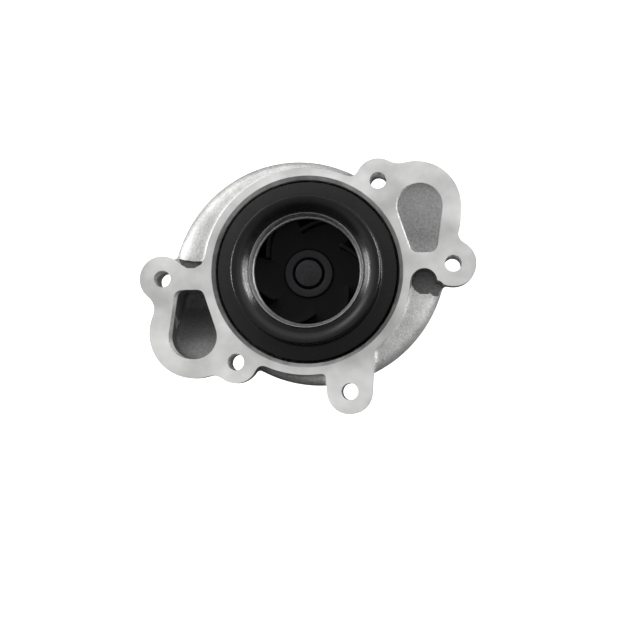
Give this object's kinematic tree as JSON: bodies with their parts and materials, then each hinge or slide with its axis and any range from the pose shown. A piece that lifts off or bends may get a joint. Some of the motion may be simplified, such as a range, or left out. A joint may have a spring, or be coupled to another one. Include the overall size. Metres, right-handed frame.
{
  "type": "engine water pump",
  "caption": "Coolant pump for an engine: aluminium twin-volute housing with bolt ears and outlet ports, closed impeller, face seal, shaft bearing and pulley hub.",
  "frame": {"origin": "centre of the drive hub's pilot end, on the shaft axis", "axes": "+Z along the shaft from the drive hub to the impeller, +X to the right and +Y up as the engine face is looked at"},
  "size_m": [0.1808, 0.1378, 0.117],
  "materials": {
    "cast_aluminium": "as-cast, machined on the engine face",
    "bearing_steel": "ground",
    "bearing_seal_rubber": "moulded",
    "cage_nylon": "moulded glass-filled nylon",
    "slinger_rubber": "moulded",
    "stainless_steel": "pressed",
    "bellows_rubber": "moulded",
    "carbon": "lapped carbon graphite",
    "ceramic": "lapped alumina",
    "black_coated_steel": "black electrophoretic coat",
    "eye_ring_steel": "turned, dull",
    "hub_steel": "black phosphate"
  },
  "bodies": {
    "housing": {"pump_housing": "cast_aluminium", "bearing_outer_ring": "bearing_steel", "front_bearing_seal": "bearing_seal_rubber", "rear_bearing_seal": "bearing_seal_rubber", "seal_cup": "stainless_steel", "seal_bellows": "bellows_rubber", "seal_drive_band": "stainless_steel", "seal_spring": "stainless_steel", "carbon_seal_ring": "carbon"},
    "rotor": {"pump_shaft": "bearing_steel", "drive_hub": "hub_steel", "water_slinger": "slinger_rubber", "seal_seat_ring": "ceramic", "seal_seat_boot": "bellows_rubber", "impeller_hub": "hub_steel", "impeller_vane_plate": "black_coated_steel", "impeller_shroud": "black_coated_steel", "impeller_eye_ring": "eye_ring_steel"},
    "front_ball_row": {"front_ball_cage": "cage_nylon", "front_ball_1": "bearing_steel", "front_ball_2": "bearing_steel", "front_ball_3": "bearing_steel", "front_ball_4": "bearing_steel", "front_ball_5": "bearing_steel", "front_ball_6": "bearing_steel", "front_ball_7": "bearing_steel", "front_ball_8": "bearing_steel"},
    "rear_ball_row": {"rear_ball_cage": "cage_nylon", "rear_ball_1": "bearing_steel", "rear_ball_2": "bearing_steel", "rear_ball_3": "bearing_steel", "rear_ball_4": "bearing_steel", "rear_ball_5": "bearing_steel", "rear_ball_6": "bearing_steel", "rear_ball_7": "bearing_steel", "rear_ball_8": "bearing_steel"}
  },
  "joints": [
    {"name": "shaft_spin", "type": "hinge", "parent": "housing", "child": "rotor", "pos_m": [0, 0, 0], "axis": [0, 0, 1], "continuous": true},
    {"name": "front_cage_orbit", "type": "hinge", "parent": "housing", "child": "front_ball_row", "pos_m": [0, 0, 0], "axis": [0, 0, 1], "continuous": true},
    {"name": "rear_cage_orbit", "type": "hinge", "parent": "housing", "child": "rear_ball_row", "pos_m": [0, 0, 0], "axis": [0, 0, 1], "continuous": true}
  ],
  "couplings": [
    {"joint": "front_cage_orbit", "follows": "shaft_spin", "ratio": 0.3679},
    {"joint": "rear_cage_orbit", "follows": "shaft_spin", "ratio": 0.3679}
  ]
}
